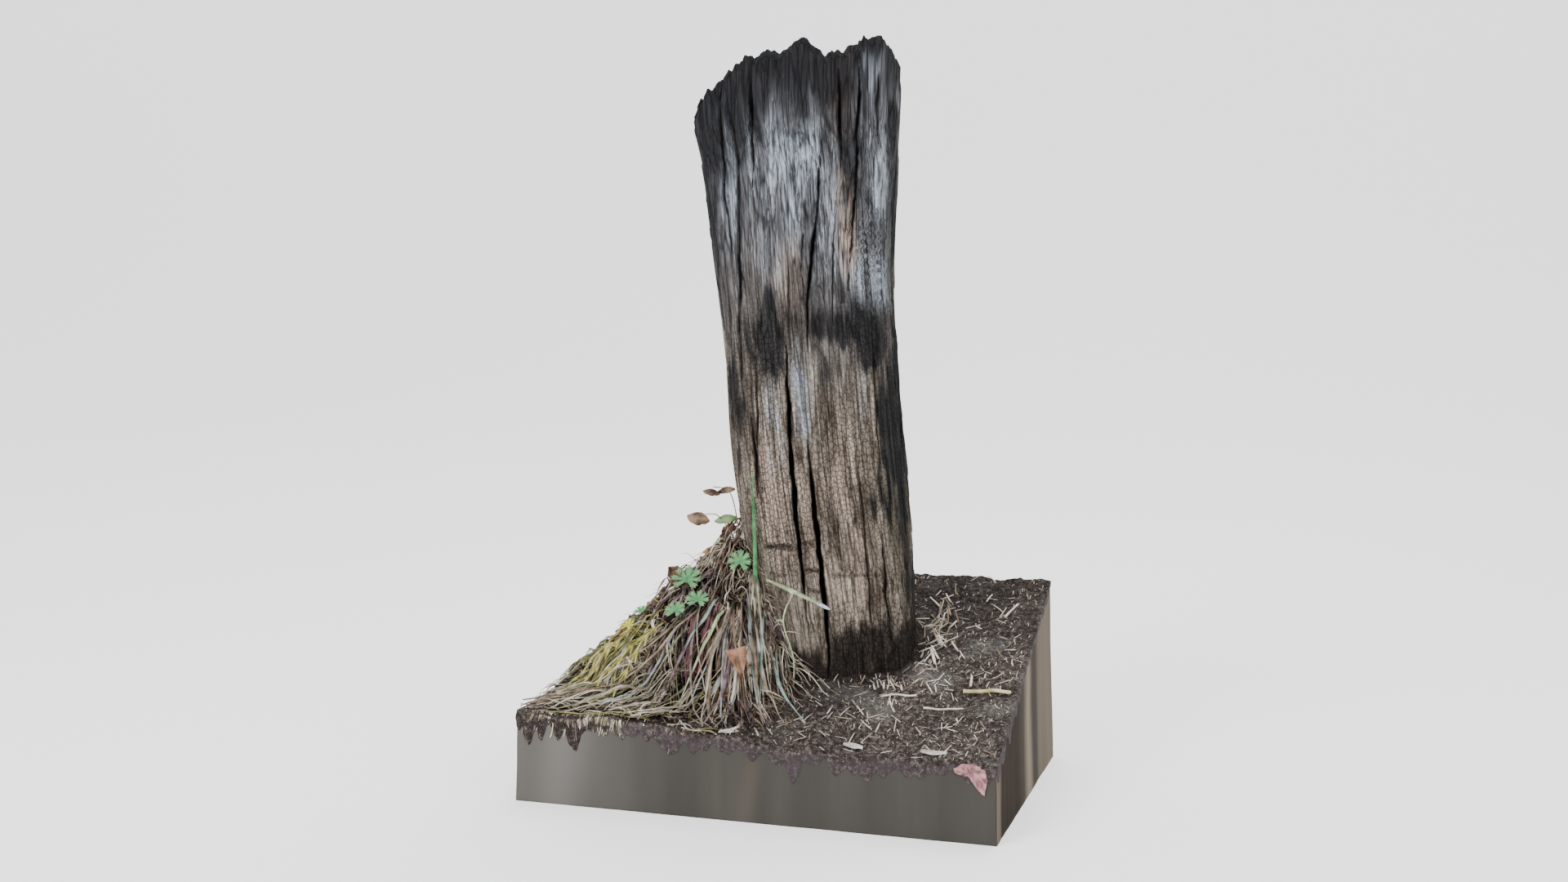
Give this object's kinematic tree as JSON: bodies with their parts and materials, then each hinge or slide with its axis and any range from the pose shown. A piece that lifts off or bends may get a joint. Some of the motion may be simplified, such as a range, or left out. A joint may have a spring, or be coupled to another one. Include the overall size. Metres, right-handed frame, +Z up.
{
  "type": "tree stump",
  "caption": "Tall weathered tree stump with a broken top, rooted in a cut block of sloping earth with a tussock of dry grass at its foot.",
  "frame": {"origin": "middle of the earth block's flat underside, which is also the middle of the whole object's plan", "axes": "+Z up along the stump, +X to the right along the block's long front face, +Y from that front face to the higher back"},
  "size_m": [0.7, 0.455, 1.0777],
  "materials": {
    "weathered_wood": "matte",
    "topsoil": "matte",
    "subsoil": "matte",
    "dry_grass": "matte",
    "green_leaf": "satin",
    "yellow_leaf": "satin",
    "yellow_stem": "satin",
    "red_stem": "satin",
    "blue_green_blade": "satin",
    "pale_stalk": "satin",
    "dead_leaf": "matte",
    "straw": "matte"
  },
  "bodies": {
    "root": {"base_block": "subsoil", "topsoil": "topsoil", "stump": "weathered_wood", "tussock": "dry_grass", "cranesbill_1": "green_leaf", "cranesbill_2": "green_leaf", "cranesbill_3": "green_leaf", "cranesbill_4": "green_leaf", "cranesbill_5": "green_leaf", "yellow_cranesbill_1": "yellow_leaf", "green_blade_1": "blue_green_blade", "green_blade_2": "blue_green_blade", "green_blade_3": "blue_green_blade", "green_blade_4": "blue_green_blade", "tall_blade_1": "green_leaf", "yellow_stem_1": "yellow_stem", "yellow_stem_2": "yellow_stem", "yellow_stem_3": "yellow_stem", "red_stem_1": "red_stem", "red_stem_2": "red_stem", "pale_stalk_1": "pale_stalk", "sprig_1": "dead_leaf", "sprig_2": "dead_leaf", "dead_leaf_1": "dead_leaf", "dead_leaf_2": "dead_leaf", "long_straw_1": "straw", "long_straw_2": "straw", "long_straw_3": "straw", "long_straw_4": "straw", "long_straw_5": "straw", "long_straw_6": "straw", "pale_chip_1": "straw", "pale_chip_2": "straw", "pale_chip_3": "straw"}
  },
  "joints": []
}
